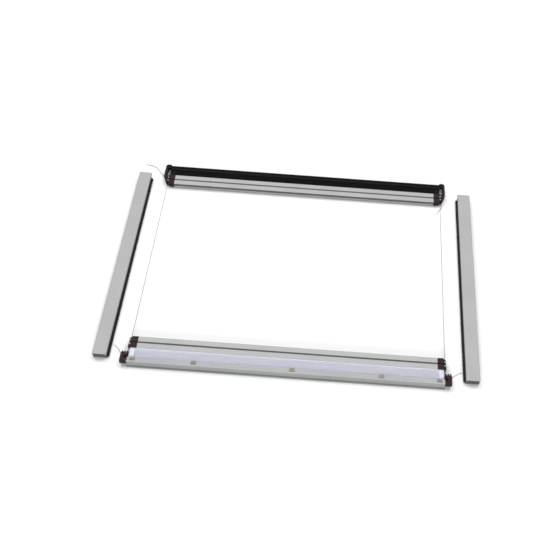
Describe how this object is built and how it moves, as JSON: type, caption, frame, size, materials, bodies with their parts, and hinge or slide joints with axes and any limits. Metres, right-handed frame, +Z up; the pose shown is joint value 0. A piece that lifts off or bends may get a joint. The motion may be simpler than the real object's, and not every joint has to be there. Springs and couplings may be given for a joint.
{
  "type": "pleated blackout blind and insect screen kit",
  "caption": "Window blind kit laid out flat: blackout and insect screen pleats folded at opposite ends, sliding aluminium bars on taut guide cords, two loose side rails.",
  "frame": {"origin": "middle of the laid-out kit, at the level of the table, the loose cord ends left out", "axes": "+X along the bars, +Y from the blackout side to the insect screen side, +Z up from the table"},
  "size_m": [1.171, 0.8242, 0.024],
  "materials": {
    "silver": "satin anodised",
    "black": "satin black",
    "dark": "moulded dark brown plastic",
    "groove": "grey strip",
    "seal": "soft brown-grey strip",
    "rail_seal": "black pile seal",
    "blackout": "pale grey coated pleated fabric",
    "screen": "black pleated mesh",
    "clip": "beige plastic",
    "screw": "plain",
    "cord": "pale braided cord"
  },
  "bodies": {
    "frame": {"blackout_fabric": "blackout", "cord_tail_lower_left": "cord", "cord_tail_lower_right": "cord", "cord_tail_upper_left": "cord", "cord_tail_upper_right": "cord", "fabric_clip_1": "clip", "fabric_clip_2": "clip", "fabric_clip_3": "clip", "fabric_clip_4": "clip", "fabric_clip_5": "clip", "guide_cord_left": "cord", "guide_cord_right": "cord", "lower_bracket_left": "dark", "lower_bracket_right": "dark", "lower_profile": "silver", "screen_fabric": "screen", "upper_bracket_left": "dark", "upper_bracket_right": "dark", "upper_profile": "black"},
    "blackout_bar": {"blackout_bar": "silver", "blackout_bar_groove_strip": "groove", "blackout_bar_seal": "seal", "blackout_block_left": "dark", "blackout_block_right": "dark", "blackout_block_screw_left_1": "screw", "blackout_block_screw_left_2": "screw", "blackout_block_screw_right_1": "screw", "blackout_block_screw_right_2": "screw"},
    "screen_bar": {"screen_bar": "silver", "screen_bar_groove_strip": "groove", "screen_bar_seal": "seal", "screen_block_left": "dark", "screen_block_right": "dark", "screen_block_screw_left_1": "screw", "screen_block_screw_left_2": "screw", "screen_block_screw_right_1": "screw", "screen_block_screw_right_2": "screw"},
    "rail_left": {"rail_seal_left": "rail_seal", "side_rail_left": "silver"},
    "rail_right": {"rail_seal_right": "rail_seal", "side_rail_right": "silver"}
  },
  "joints": [
    {"name": "blackout_bar_slide", "type": "slide", "parent": "frame", "child": "blackout_bar", "axis": [0, 1, 0], "range_m": [0, 0.31], "deforming": ["blackout_fabric"]},
    {"name": "screen_bar_slide", "type": "slide", "parent": "frame", "child": "screen_bar", "axis": [0, -1, 0], "range_m": [0, 0.31], "deforming": ["screen_fabric"]},
    {"name": "left_rail_closing", "type": "slide", "parent": "frame", "child": "rail_left", "axis": [1, 0, 0], "range_m": [0, 0.0355]},
    {"name": "right_rail_closing", "type": "slide", "parent": "frame", "child": "rail_right", "axis": [-1, 0, 0], "range_m": [0, 0.0355]}
  ]
}
